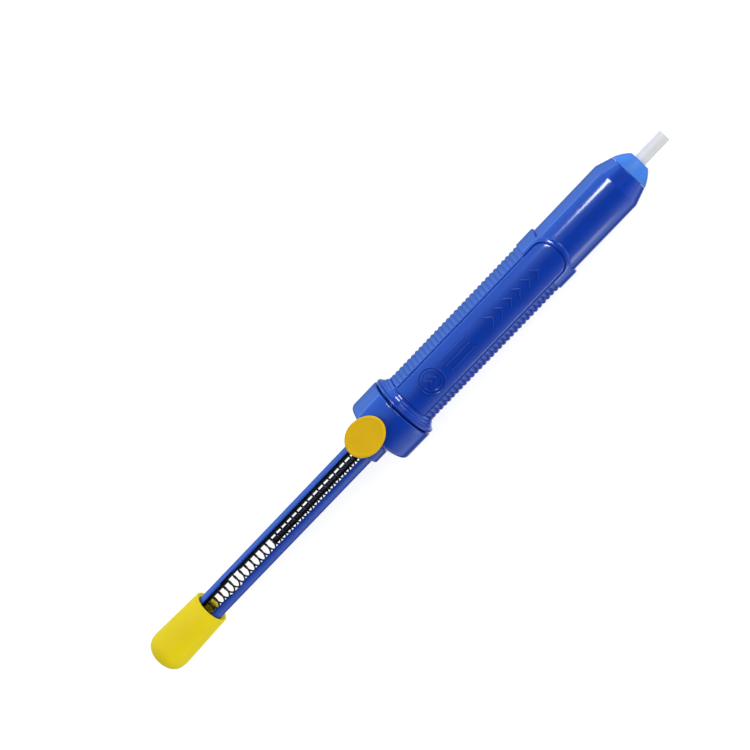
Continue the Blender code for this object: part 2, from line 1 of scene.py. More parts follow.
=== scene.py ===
"""The looks of the desoldering pump: fine meshes, materials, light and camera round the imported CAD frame.

Lengths of the pump are in millimetres, and MM turns them into metres where a mesh is made. Places and sizes
of lights and of the floor are in metres. A point on a turned surface is (x, radius, phi): x from the pump's
datum, which lies DATUM along the frame's X axis, the radius from the pump's axis, and phi about that axis
from +Z towards +Y.
"""

import json
import math

import bmesh
import bpy
import numpy as np
from mathutils import Matrix, Vector


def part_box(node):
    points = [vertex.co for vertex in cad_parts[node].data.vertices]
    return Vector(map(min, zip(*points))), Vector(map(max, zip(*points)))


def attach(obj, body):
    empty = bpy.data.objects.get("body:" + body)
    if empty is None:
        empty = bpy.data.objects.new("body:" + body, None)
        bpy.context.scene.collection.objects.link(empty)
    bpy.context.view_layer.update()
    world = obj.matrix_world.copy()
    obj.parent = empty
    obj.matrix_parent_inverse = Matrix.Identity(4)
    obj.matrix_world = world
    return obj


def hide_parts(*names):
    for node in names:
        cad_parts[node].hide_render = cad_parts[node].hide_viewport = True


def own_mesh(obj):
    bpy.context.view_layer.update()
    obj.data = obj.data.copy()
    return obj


MM = 0.001
NOZZLE_TIP = 183.0
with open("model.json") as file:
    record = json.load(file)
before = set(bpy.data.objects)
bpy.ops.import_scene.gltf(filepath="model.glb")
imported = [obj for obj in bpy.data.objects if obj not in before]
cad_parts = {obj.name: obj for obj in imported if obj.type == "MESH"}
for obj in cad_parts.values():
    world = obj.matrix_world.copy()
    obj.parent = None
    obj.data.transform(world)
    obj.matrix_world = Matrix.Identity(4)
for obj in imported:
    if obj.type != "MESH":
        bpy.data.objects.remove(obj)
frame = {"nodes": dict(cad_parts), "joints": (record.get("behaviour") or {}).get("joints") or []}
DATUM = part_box("nozzle")[1].x / MM - NOZZLE_TIP
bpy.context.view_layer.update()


# ---------------------------------------------------------------- what the frame says

def box_mm(node):
    """A node's low and high corner in millimetres, with x from the datum."""
    shift = Vector((DATUM, 0, 0))
    low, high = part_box(node)
    return low / MM - shift, high / MM - shift


def joint_named(name):
    return next(joint for joint in frame["joints"] if joint["name"] == name)


AXIS = sum(corner.z for corner in box_mm("nozzle")) / 2
PRESS_AXIS = Vector(joint_named("button_press")["axis"])
BUTTON_TURN = math.atan2(-PRESS_AXIS.y, -PRESS_AXIS.z)  # phi of the button's direction
NOSE_FRONT = box_mm("nose_cap")[1].x
SPRING_FRONT = box_mm("main_spring")[1].x
SPRING_REAR = box_mm("main_spring")[0].x
KNOB_REAR = box_mm("knob")[0].x
SHAFT_REAR = box_mm("plunger_shaft")[0].x
SHAFT_FRONT = box_mm("plunger_shaft")[1].x
ROD_FRONT = box_mm("guide_rod")[1].x
ROD_REAR = box_mm("guide_rod")[0].x
COLLAR_RADIUS = box_mm("collar")[1].y
COLLAR_FRONT = box_mm("collar")[1].x
COLLAR_REAR = box_mm("collar")[0].x
TO_BUTTON = Matrix.Rotation(-BUTTON_TURN, 3, "X")  # turns +Z to the button's direction

# Barrel
FRONT_FACE = box_mm("barrel")[1].x
SPIGOT_REAR = box_mm("barrel")[0].x
NOSE_REAR = FRONT_FACE + 0.12  # the nose cap all but touches the barrel
BARREL_BORE = 10.6
BORE_FRONT = 147.0
FRONT_OPENING = 8.3
FRONT_RADIUS = 13.5
TAPER_REAR = 150.4
GRIP_FRONT = 118.0  # in front of it the outside is the plain cylinder and its taper
BAND_RADIUS = 15.0
BAND_FRONT = 108.9
BAND_REAR = 97.5
RIB_TOP = 14.62
RIB_DEPTH = 0.64
GROOVE_DEPTH = 0.5  # of the line round a panel
GROOVE_EDGE = 0.12  # how far that line's floor reaches outside the panel's outline
GROOVE_TOP = 0.38  # where its outer wall ends
# The panel's rounded edge as (outset, depth), and where the mesh has its rows and columns across that edge
PANEL_ROUNDING = [(-0.75, 0), (-0.5, 0.03), (-0.34, 0.08), (-0.22, 0.20), (-0.14, GROOVE_DEPTH)]
PANEL_EDGES = [outset for outset, _ in PANEL_ROUNDING] + [0, GROOVE_EDGE, 0.2, 0.28, GROOVE_TOP]
RIM = 0.34  # how wide the ribs stay flat beside that line
RIB_COUNT = 32
RIBS_REAR = 8.04
RIBS_FRONT = 96.9
FLANGE_REAR = 1.7
SPIGOT_RADIUS = 14.6
LUG_X = (-6.1, -3.7)
LUG_HALF_WIDTH = 2.8
LUG_RADIUS = 16.2
RELEASE_TWIST = math.radians(45)  # of the collar, at which its channels line up with the barrel's lugs
ROWS_APART = 0.015  # rows of the barrel's mesh that are closer than this are merged

# The smooth panels on the grip, above and below
PANEL_RADIUS = 14.66
PANEL_HALF_WIDTH = 9.4
PANEL_REAR = 7.8
MARK_WIDTH = 1.1
MARK_HEIGHT = 0.62
ARCH_X = 103.3  # where the panel's sides end and its arched front starts
ARCH_LENGTH = 7.1
ARCH_POWER = 2.1  # 2 is an ellipse, and more is squarer
ARCH_STEP = 0.12  # how far each millimetre of outset moves the arch's ends forward
LIP_WIDTH = 2.8  # of the raised lip round the arch
PROFILE_RADIUS = 14.8  # a column's y is measured at this radius

# Nose and nozzle
NOSE_RADIUS = 10.55
NOZZLE_RADIUS = 3.175
NOZZLE_BORE = 1.35
NOSE_SPIGOT = 7.95
NOSE_SEAL_X = 152.1
NOSE_SEAL_HALF = 0.9  # half the width of its groove, as for the other seals
NOZZLE_SEAL_X = 157.8
NOZZLE_SEAL_HALF = 0.8

# Shaft, collar, button and piston
SHAFT_RADIUS = 7.25
COLLAR_BORE = SHAFT_RADIUS + 0.35
SLOT_HALF_WIDTH = 3.55
SLOT_FRONT = -2.8
NOTCH_X = (-128.1, -119.3)
NOTCH_HALF_WIDTH = 4.3
ROD_RADIUS = 1.6
ROD_HOLE = 1.75
BOSS_RADIUS = 9.45
POCKET_X = (-15.9, -13.3)  # the slot in the collar for the latch plate and the button's tab
SPRING_WELL_X = -10.2  # where the button's spring and peg stand
SPRING_FOOT = 12.8
SPRING_HEAD = 20.8
BUTTON_X = -17.9  # where the button's two half ellipses meet
BUTTON_FRONT_HALF = 11.8
BUTTON_REAR_HALF = 10.6
BUTTON_HALF_WIDTH = 9.15
PISTON_RADIUS = 10.2
PISTON_SEAL_X = 29.0
PISTON_SEAL_HALF = 1.4


# ---------------------------------------------------------------- materials

def principled(name):
    material = bpy.data.materials.new(name)
    material.use_nodes = True
    return material, material.node_tree.nodes, material.node_tree.links


def noise(nodes, links, scale, detail, stretch=(1, 1, 1)):
    """Noise in the piece's own coordinates, with features of about 1 / scale metres."""
    where = nodes.new("ShaderNodeTexCoord")
    mapping = nodes.new("ShaderNodeMapping")
    mapping.inputs["Scale"].default_value = stretch
    texture = nodes.new("ShaderNodeTexNoise")
    texture.inputs["Scale"].default_value = scale
    texture.inputs["Detail"].default_value = detail
    links.new(where.outputs["Object"], mapping.inputs["Vector"])
    links.new(mapping.outputs["Vector"], texture.inputs["Vector"])
    return texture.outputs["Fac"]


def ranged(nodes, links, value, low, high):
    """The middle of a noise's range spread over low to high."""
    spread = nodes.new("ShaderNodeMapRange")
    spread.inputs["From Min"].default_value = 0.3
    spread.inputs["From Max"].default_value = 0.7
    spread.inputs["To Min"].default_value = low
    spread.inputs["To Max"].default_value = high
    links.new(value, spread.inputs["Value"])
    return spread.outputs["Result"]


def surface(name, colour, roughness, variation=0.06, rough_variation=0.06, blotch=90, grain=2200,
            bump=0.03, stretch=(1, 1, 1), metallic=0.0, ior=1.46):
    """A moulded or machined surface: slow colour variation, and fine grain in its roughness and bump."""
    material, nodes, links = principled(name)
    shader = nodes["Principled BSDF"]
    shader.inputs["Metallic"].default_value = metallic
    shader.inputs["IOR"].default_value = ior
    slow = noise(nodes, links, blotch, 3.0, stretch)
    fine = noise(nodes, links, grain, 5.0, stretch)
    mix = nodes.new("ShaderNodeMix")
    mix.data_type = "RGBA"
    darker, lighter = 1 - variation, 1 + variation
    mix.inputs["A"].default_value = (*(c * darker for c in colour), 1)
    mix.inputs["B"].default_value = (*(min(1, c * lighter) for c in colour), 1)
    links.new(ranged(nodes, links, slow, 0, 1), mix.inputs["Factor"])
    links.new(mix.outputs["Result"], shader.inputs["Base Color"])
    spread = ranged(nodes, links, fine, roughness - rough_variation, roughness + rough_variation)
    links.new(spread, shader.inputs["Roughness"])
    relief = nodes.new("ShaderNodeBump")
    relief.inputs["Strength"].default_value = bump
    relief.inputs["Distance"].default_value = 0.1 * MM
    links.new(fine, relief.inputs["Height"])
    links.new(relief.outputs["Normal"], shader.inputs["Normal"])
    return material


def make_materials():
    return {
        "gloss_blue": surface("gloss_blue", (0.0037, 0.0385, 0.3500), 0.12, rough_variation=0.02, bump=0.012,
                              ior=1.52),
        "shaft_blue": surface("shaft_blue", (0.0037, 0.0410, 0.3450), 0.24, ior=1.42),
        "slot_shade": surface("slot_shade", (0.0020, 0.0050, 0.0180), 0.80, bump=0.05, ior=1.15),
        "satin_blue": surface("satin_blue", (0.0380, 0.1760, 0.6200), 0.36, bump=0.03, ior=1.36),
        "yellow_plastic": surface("yellow_plastic", (0.8600, 0.6650, 0.0045), 0.62, variation=0.03,
                                  blotch=60, grain=1500, bump=0.10, ior=1.24),
        "button_yellow": surface("button_yellow", (0.7450, 0.4500, 0.0040), 0.45, variation=0.03, bump=0.05,
                                 ior=1.13),
        "ptfe": surface("ptfe", (0.69, 0.68, 0.67), 0.45, variation=0.02, bump=0.05, ior=1.36),
        "piston_plastic": surface("piston_plastic", (0.30, 0.31, 0.33), 0.45),
        "rubber": surface("rubber", (0.018, 0.018, 0.020), 0.62, variation=0.15, grain=3500, bump=0.12),
        "blackened_steel": surface("blackened_steel", (0.030, 0.031, 0.036), 0.34, variation=0.20,
                                   grain=1200, stretch=(0.15, 1, 1), metallic=0.75),
        "bright_steel": surface("bright_steel", (0.58, 0.58, 0.60), 0.27, variation=0.05, grain=2600,
                                stretch=(1, 1, 0.08), metallic=1.0),
    }


MATERIALS = make_materials()


# ---------------------------------------------------------------- meshes

SHARP = 35  # degrees between two faces, from which their edge is shaded sharp


def linked(name, data):
    """A new object in the scene with a mesh, light or camera."""
    obj = bpy.data.objects.new(name, data)
    bpy.context.scene.collection.objects.link(obj)
    return obj


def new_object(name, points, faces, sharp=SHARP):
    """A mesh object from points in millimetres about the pump's axis (x, y, height above the axis)."""
    mesh = bpy.data.meshes.new(name)
    mesh.from_pydata([((x + DATUM) * MM, y * MM, (z + AXIS) * MM) for x, y, z in points], [], faces)
    obj = linked(name, mesh)
    tidy_mesh(mesh, sharp)
    return obj


def tidy_mesh(mesh, sharp):
    """Merges points that coincide, turns the faces outwards and shades them."""
    shape = bmesh.new()
    shape.from_mesh(mesh)
    bmesh.ops.remove_doubles(shape, verts=shape.verts, dist=0.00002 * MM)
    bmesh.ops.recalc_face_normals(shape, faces=shape.faces)
    shape.to_mesh(mesh)
    shape.free()
    mesh.shade_smooth()
    mesh.set_sharp_from_angle(angle=math.radians(sharp))


def finished(obj, material, body, slot, *replaced):
    """Gives a piece its material and body, and hides the CAD nodes that it stands for. The slot is not used.
    """
    obj.data.materials.clear()
    obj.data.materials.append(MATERIALS[material])
    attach(obj, body)
    if replaced:
        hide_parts(*replaced)
    return obj


def applied(obj, sharp=SHARP):
    """Applies an object's modifiers, removes their helpers and shades the result."""
    graph = bpy.context.evaluated_depsgraph_get()
    mesh = bpy.data.meshes.new_from_object(obj.evaluated_get(graph))
    helpers = [modifier.object for modifier in obj.modifiers if modifier.type == "BOOLEAN"]
    obj.modifiers.clear()
    obj.data = mesh
    for helper in helpers:
        bpy.data.objects.remove(helper)
    tidy_mesh(mesh, sharp)
    return obj


def cut(obj, other, operation="DIFFERENCE"):
    modifier = obj.modifiers.new(other.name, "BOOLEAN")
    modifier.operation = operation
    modifier.object = other
    other.hide_render = True
    return obj


def rounded(corners, closed=True, steps=6):
    """An outline through (a, b) corners. A corner (a, b, size) is rounded over that length each way."""
    most = 0.48  # of the side before or after a corner
    outline = []
    for i, corner in enumerate(corners):
        here = Vector(corner[:2])
        size = corner[2] if len(corner) > 2 else 0
        last = i in (0, len(corners) - 1)
        if not size or (last and not closed):
            outline.append(tuple(here))
            continue
        before = Vector(corners[i - 1][:2]) - here
        after = Vector(corners[(i + 1) % len(corners)][:2]) - here
        start = here + before.normalized() * min(size, before.length * most)
        end = here + after.normalized() * min(size, after.length * most)
        for step in range(steps + 1):
            t = step / steps
            outline.append(tuple(start * (1 - t) ** 2 + here * 2 * t * (1 - t) + end * t * t))
    return outline


def grid_faces(rows, columns, closed_rows=False):
    """Quads between consecutive rows of points, each of which is a closed ring."""
    faces = []
    for row in range(rows if closed_rows else rows - 1):
        for column in range(columns):
            a, b = row * columns, (row + 1) % rows * columns
            after = (column + 1) % columns
            faces.append((a + column, a + after, b + after, b + column))
    return faces


def on_circle(x, radius, phi):
    return x, radius * math.sin(phi), radius * math.cos(phi)


def turned(name, outline, segments=96, sharp=SHARP, tilt=0.0):
    """A surface turned about the axis from an outline of (x, radius) points.

    The outline is a closed loop, or runs from the axis back to the axis. The first column of points is at
    phi = tilt.
    """
    closed = outline[0][1] > 0
    points = []
    for x, radius in outline:
        for i in range(segments):
            points.append(on_circle(x, max(radius, 0.00001), 2 * math.pi * i / segments + tilt))
    faces = grid_faces(len(outline), segments, closed_rows=closed)
    obj = new_object(name, points, faces, sharp)
    if not closed:
        weld_poles(obj, sharp)
    return obj


def weld_poles(obj, sharp):
    """Merges the points of a turned surface that lie on the axis."""
    shape = bmesh.new()
    shape.from_mesh(obj.data)
    near = [v for v in shape.verts if math.hypot(v.co.y, v.co.z - AXIS * MM) < 0.0001 * MM]
    bmesh.ops.remove_doubles(shape, verts=near, dist=0.001 * MM)
    shape.to_mesh(obj.data)
    shape.free()
    tidy_mesh(obj.data, sharp)


def block(name, low, high, tilt=0.0, bevel=0.0):
    """A box between two corners (x, y, height above the axis), turned so that +Z goes to phi = tilt."""
    shape = bmesh.new()
    bmesh.ops.create_cube(shape, size=1)
    size = Vector(high) - Vector(low)
    bmesh.ops.scale(shape, vec=size * MM, verts=shape.verts)
    bmesh.ops.translate(shape, vec=(Vector(low) + size / 2) * MM, verts=shape.verts)
    if bevel:
        bmesh.ops.bevel(shape, geom=shape.edges, offset=bevel * MM, segments=2, affect="EDGES")
    return from_shape(name, shape, tilt)


def post(name, low, high, radius, x, tilt):
    """A cylinder at x that points away from the axis, from one distance from it to another."""
    shape = bmesh.new()
    bmesh.ops.create_cone(shape, cap_ends=True, segments=32, radius1=radius * MM, radius2=radius * MM,
                          depth=(high - low) * MM)
    bmesh.ops.translate(shape, vec=(x * MM, 0, (low + high) / 2 * MM), verts=shape.verts)
    return from_shape(name, shape, tilt)


def from_shape(name, shape, tilt):
    """An object from a bmesh that was made about the axis, turned so that +Z goes to phi = tilt."""
    turn = Matrix.Translation((DATUM * MM, 0, AXIS * MM)) @ Matrix.Rotation(-tilt, 4, "X")
    bmesh.ops.transform(shape, matrix=turn, verts=shape.verts)
    mesh = bpy.data.meshes.new(name)
    shape.to_mesh(mesh)
    shape.free()
    obj = linked(name, mesh)
    tidy_mesh(mesh, SHARP)
    return obj


def smoothstep(t):
    t = np.clip(t, 0, 1)
    return t * t * (3 - 2 * t)


# ---------------------------------------------------------------- barrel

def arch_line(y, outset):
    """x at |y| of the arch moved outwards by outset. Beyond its half-width it goes on near ARCH_X."""
    half_width = PANEL_HALF_WIDTH + outset
    inside = np.clip(1 - (np.abs(y) / half_width) ** ARCH_POWER, 0, 1)
    return ARCH_X + ARCH_STEP * outset + (ARCH_LENGTH + outset) * inside ** (1 / ARCH_POWER)


def band_front(y):
    """x of the band's front edge, which swings forward round the panel's arch as the lip."""
    dip = 1.1
    dip_y = 11.6
    dip_width = 1.6
    edge = BAND_FRONT - dip * np.exp(-(((np.abs(y) - dip_y) / dip_width) ** 2))
    lip = arch_line(y, LIP_WIDTH)
    sharpness = 3.0  # of the blend between the edge and the lip, which takes whichever is further forward
    both = np.exp((edge - ARCH_X) * sharpness) + np.exp((lip - ARCH_X) * sharpness)
    return np.log(both) / sharpness + ARCH_X


def band_slope(y):
    """How long the slope is behind the band's front edge: longest in front of the panel."""
    return 0.85 + 1.5 * np.exp(-((np.abs(y) / 8.0) ** 4))


def panel_distance(x, y):
    """How far a point is outside the panel's outline (negative inside it), measured as the arch's outset."""
    side = np.maximum(np.abs(y) - PANEL_HALF_WIDTH, PANEL_REAR - x)
    farthest = 60.0
    halvings = 40
    low = np.full(x.shape, -ARCH_LENGTH + 0.2)
    high = np.full(x.shape, farthest)
    for _ in range(halvings):
        middle = (low + high) / 2
        ahead = np.clip((x - ARCH_X - ARCH_STEP * middle) / (ARCH_LENGTH + middle), 0, None) ** ARCH_POWER
        across = (np.abs(y) / (PANEL_HALF_WIDTH + middle)) ** ARCH_POWER
        outside = ahead + across > 1
        low = np.where(outside, middle, low)
        high = np.where(outside, high, middle)
    return np.where(x > ARCH_X, (low + high) / 2, side)


def flange_outline():
    """The rear flange in front of the collar: shallow steps with rounded edges, from front to rear."""
    corners = [(RIBS_REAR, RIB_TOP), (7.4, 14.6, 0.3), (6.6, 14.8, 0.4), (6.1, 15.5, 0.28),
               (5.2, 15.65, 0.4), (4.75, 16.4, 0.3), (4.2, 16.6, 0.3), (3.5, 18.05, 0.3),
               (3.1, 18.3, 0.2), (2.5, 18.25, 0.25), (2.25, 17.0, 0.2), (1.8, 16.8)]
    return rounded(corners, closed=False, steps=4)


def grip_radius(x, y):
    """The outside without its panels: front cylinder, band, ribs and flange."""
    edge = band_front(y)
    width = band_slope(y)
    t = np.clip((x - (edge - width)) / width, 0, 1)
    fall = np.sqrt(np.clip(1 - t * t, 0, 1))
    outside = FRONT_RADIUS + (BAND_RADIUS - FRONT_RADIUS) * (0.85 * fall + 0.15 * (1 - smoothstep(t)))
    turn = (x - RIBS_REAR) / (RIBS_FRONT - RIBS_REAR) * RIB_COUNT
    wave = 0.5 + 0.5 * np.cos(2 * np.pi * (turn - 0.5))
    broad = 0.55  # below 1 it makes the ribs' crests broader than the valleys
    ribs = RIB_TOP - RIB_DEPTH + RIB_DEPTH * wave ** broad
    ribs = np.where((x > RIBS_REAR) & (x < RIBS_FRONT), ribs, RIB_TOP - RIB_DEPTH * 0.5)
    step_start = BAND_REAR - 0.35
    step_length = 0.5
    step = smoothstep((x - step_start) / step_length)
    outside = np.where(x < BAND_REAR + 0.3, ribs + (BAND_RADIUS - ribs) * step, outside)
    flange = flange_outline()[::-1]
    flange_radius = np.interp(x, [p[0] for p in flange], [p[1] for p in flange])
    return np.where(x < RIBS_REAR, flange_radius, outside)


def barrel_radius(x, y):
    """The grip's outside with its panels, the groove round each and the flat rim beside the groove."""
    outside = grip_radius(x, y)
    distance = panel_distance(x, y)
    depth = np.interp(distance, *zip(*PANEL_ROUNDING))
    panel = PANEL_RADIUS - depth
    groove = PANEL_RADIUS - GROOVE_DEPTH
    rim = np.maximum(outside, RIB_TOP - 0.04)
    beside = rim + (outside - rim) * smoothstep((distance - GROOVE_TOP - RIM) / 0.55)
    wall = groove + (beside - groove) * smoothstep((distance - GROOVE_EDGE) / (GROOVE_TOP - GROOVE_EDGE))
    return np.where(distance < 0, panel, np.where(distance < GROOVE_EDGE, groove, wall))


def barrel_columns():
    """phi of the columns over a quarter turn, crowded where the panel's edge runs."""
    inner = [PANEL_HALF_WIDTH * t for t in np.linspace(0, 0.9, 15)]
    edge = [PANEL_HALF_WIDTH + outset for outset in PANEL_EDGES + [0.7, 0.85, 1.0, 1.15, 1.3]]
    ends = [math.asin(y / PROFILE_RADIUS) for y in inner + edge]
    outer = list(np.linspace(ends[-1], math.pi / 2, 15)[1:])
    return ends + outer


def barrel_rows(y):
    """x of each row of the outside from front to rear, one array per row. Rows bend round the arch."""
    flat = np.ones_like(y)
    taper = (157, 154.5, 152, 151.1, 150.8, 150.55, 150.3, 150.05, 149.7)  # crowded at TAPER_REAR
    cylinder = (148, 142, 134, 126, 120)
    rows = [(FRONT_FACE - behind) * flat for behind in (0, 0.08, 0.2, 0.4)]
    rows += [x * flat for x in taper + cylinder]
    edge = band_front(y)
    width = band_slope(y)
    rows += [edge + ahead for ahead in (3.0, 1.2, 0.4, 0.1)]
    rows += [edge - width * t for t in (0.0, 0.02, 0.06, 0.12, 0.2, 0.3, 0.42, 0.56, 0.7, 0.85, 1.0)]
    rows += [arch_line(y, outset) for outset in [0.7] + PANEL_EDGES[::-1]]
    bent = rows[-1]
    straight = 99.1
    rows += [bent + (straight - bent) * t for t in (0.12, 0.28, 0.46, 0.64, 0.82, 1.0)]
    rows += [(BAND_REAR + ahead) * flat for ahead in (0.5, 0.25, 0.1, 0, -0.1, -0.2, -0.3, -0.45)]
    per_rib = 8
    pitch = (RIBS_FRONT - RIBS_REAR) / RIB_COUNT
    rear = [RIBS_FRONT - pitch * i / per_rib for i in range(RIB_COUNT * per_rib + 1)]
    rear += [PANEL_REAR - outset for outset in PANEL_EDGES]
    rear += [x for x, _ in flange_outline()]
    last = math.inf
    for x in sorted(rear, reverse=True):
        if last - x > ROWS_APART:
            rows.append(x * flat)
            last = x
    return rows


def taper_radius(x):
    """The outside in front of the grip."""
    outline = rounded([(FRONT_FACE, NOSE_RADIUS - 0.05), (FRONT_FACE - 0.15, NOSE_RADIUS + 0.10, 0.1),
                       (TAPER_REAR, FRONT_RADIUS, 0.45), (145, FRONT_RADIUS)], closed=False)[::-1]
    return np.interp(x, [p[0] for p in outline], [p[1] for p in outline])


def make_barrel():
    quarter = barrel_columns()
    half = quarter + [math.pi - phi for phi in reversed(quarter[:-1])]
    phis = np.array(half[:-1] + [math.pi + phi for phi in half[:-1]])
    y = PROFILE_RADIUS * np.sin(phis)
    points = []
    rows = 0
    for x in barrel_rows(y):
        radius = np.where(x > GRIP_FRONT, taper_radius(x), barrel_radius(x, y))
        points += [on_circle(a, r, phi) for a, r, phi in zip(x, radius, phis)]
        rows += 1
    inside = rounded([(FLANGE_REAR, 16.7, 0.1), (FLANGE_REAR, SPIGOT_RADIUS, 0.2),
                      (SPIGOT_REAR, SPIGOT_RADIUS, 0.4), (SPIGOT_REAR, BARREL_BORE, 0.4),
                      (BORE_FRONT, BARREL_BORE, 0.3), (BORE_FRONT, FRONT_OPENING, 0.2),
                      (FRONT_FACE, FRONT_OPENING, 0.2)], closed=True, steps=3)
    for x, radius in inside:
        points += [on_circle(x, radius, phi) for phi in phis]
        rows += 1
    barrel = new_object("barrel_body", points, grid_faces(rows, len(phis), closed_rows=True), sharp=50)
    for side in (-1, 1):
        inner, outer = sorted((side * (SPIGOT_RADIUS - 1), side * LUG_RADIUS))
        low = (LUG_X[0], inner, -LUG_HALF_WIDTH)
        high = (LUG_X[1], outer, LUG_HALF_WIDTH)
        joined(barrel, block(f"lug_{side:+d}", low, high, bevel=0.3))
    finished(barrel, "gloss_blue", "barrel_assembly", "gloss_blue", "barrel")


def joined(obj, other):
    """Adds another object's mesh to this one's."""
    shape = bmesh.new()
    shape.from_mesh(obj.data)
    shape.from_mesh(other.data)
    shape.to_mesh(obj.data)
    shape.free()
    bpy.data.objects.remove(other)


# ---------------------------------------------------------------- raised marks on the panel

def ribbon(path, width, closed):
    """Points each side of a flat path of (x, s), with mitred corners: [(left, right), ...]."""
    count = len(path)
    sides = []
    for i, here in enumerate(path):
        here = Vector(here)
        before = here - Vector(path[i - 1]) if closed or i else None
        after = Vector(path[(i + 1) % count]) - here if closed or i < count - 1 else None
        before = (before or after).normalized()
        after = (after or before).normalized()
        along = (before + after).normalized()
        across = Vector((-along.y, along.x))
        reach = width / 2 / max(0.35, along.dot(before))
        sides.append((here + across * reach, here - across * reach))
    return sides


def raised(name, paths):
    """Bars with sloping sides along paths of (x, s) on the upper panel; s runs round it from its middle."""
    points = []
    faces = []
    half = [(0.0, -0.5), (0.08, 0.0), (0.22, 0.8), (0.34, 1.0)]  # (share of the width, share of the height)
    section = half + [(1 - share, rise) for share, rise in reversed(half)]
    for path, closed in paths:
        first = len(points)
        for left, right in ribbon(path, MARK_WIDTH, closed):
            for share, rise in section:
                spot = left.lerp(right, share)
                radius = PANEL_RADIUS + MARK_HEIGHT * rise
                points.append(on_circle(spot.x, radius, spot.y / PANEL_RADIUS))
        size = len(section)
        faces += [tuple(first + i for i in face) for face in grid_faces(len(path), size, closed)]
        if not closed:
            last = first + (len(path) - 1) * size
            faces.append(tuple(range(first, first + size)))
            faces.append(tuple(reversed(range(last, last + size))))
    return new_object(name, points, faces, 40)


def circle_path(x, s, radius, steps=40):
    angles = [2 * math.pi * i / steps for i in range(steps)]
    return [(x + radius * math.cos(angle), s + radius * math.sin(angle)) for angle in angles]


def chevron(x, half_height, length):
    """An arrowhead that points to the nozzle."""
    return [(x, half_height), (x + length, 0.0), (x, -half_height)]


def make_marks():
    """Generic direction marks: two rings round two arrowheads, three bars and a row of arrowheads."""
    rings = [(circle_path(23.5, 0, radius), True) for radius in (6.6, 4.9)]
    arrows = [(chevron(x, 2.4, 2.6), False) for x in (20.6, 23.6)]
    bars = [([(33.5, s), (50.5, s)], False) for s in (3.6, 0.0, -3.6)]
    row = [(chevron(x, 2.9, 3.4), False) for x in np.arange(63, 95, 6.2)]
    marks = raised("panel_marks", rings + arrows + bars + row)
    finished(marks, "gloss_blue", "barrel_assembly", "gloss_blue")


# ---------------------------------------------------------------- nose

def make_nose():
    """The domed cap with its spigot, O-ring grooves and pocket for the nozzle's flange, and the nozzle."""
    rear = box_mm("nose_cap")[0].x
    bore = NOZZLE_RADIUS + 0.33
    dome = [(NOSE_FRONT, bore, 0.15), (NOSE_FRONT, 5.4, 0.5), (165.9, 6.05, 0.6), (163.9, 7.8, 1.0),
            (161.6, 9.35, 1.1), (159.2, NOSE_RADIUS, 0.35), (NOSE_REAR, NOSE_RADIUS - 0.08, 0.05)]
    seal_front = NOSE_SEAL_X + NOSE_SEAL_HALF
    seal_rear = NOSE_SEAL_X - NOSE_SEAL_HALF
    floor = 6.7
    spigot = [(NOSE_REAR, NOSE_SPIGOT, 0.1), (seal_front, NOSE_SPIGOT), (seal_front, floor, 0.2),
              (seal_rear, floor, 0.2), (seal_rear, NOSE_SPIGOT), (rear, NOSE_SPIGOT, 0.3)]
    pocket_x = 154.6
    pocket = 5.2
    groove_rear = NOZZLE_SEAL_X - NOZZLE_SEAL_HALF
    groove_front = NOZZLE_SEAL_X + NOZZLE_SEAL_HALF
    groove = bore + 1.25
    inside = [(rear, pocket, 0.2), (pocket_x, pocket, 0.2), (pocket_x, bore, 0.1), (groove_rear, bore),
              (groove_rear, groove, 0.2), (groove_front, groove, 0.2), (groove_front, bore)]
    cap = turned("nose_cap_shell", rounded(dome + spigot + inside), 128, 40)
    finished(cap, "satin_blue", "barrel_assembly", "satin_blue", "nose_cap")
    flange = 4.6
    flange_front = 154.3
    flange_rear = 152.3
    tube = [(NOZZLE_TIP, NOZZLE_BORE, 0.1), (NOZZLE_TIP, NOZZLE_RADIUS, 0.35),
            (flange_front, NOZZLE_RADIUS, 0.1), (flange_front, flange, 0.2),
            (flange_rear, flange, 0.2), (flange_rear, NOZZLE_BORE, 0.2)]
    nozzle = turned("nozzle_tube", rounded(tube), 72, 40)
    finished(nozzle, "ptfe", "barrel_assembly", "ptfe", "nozzle")


def make_seal(name, x, radius, tube, body, node):
    """An O-ring at x, with the radius of its ring and of its tube."""
    finished(turned(name, circle_path(x, radius, tube, 20), 72, 80), "rubber", body, "rubber", node)


# ---------------------------------------------------------------- collar and what it holds

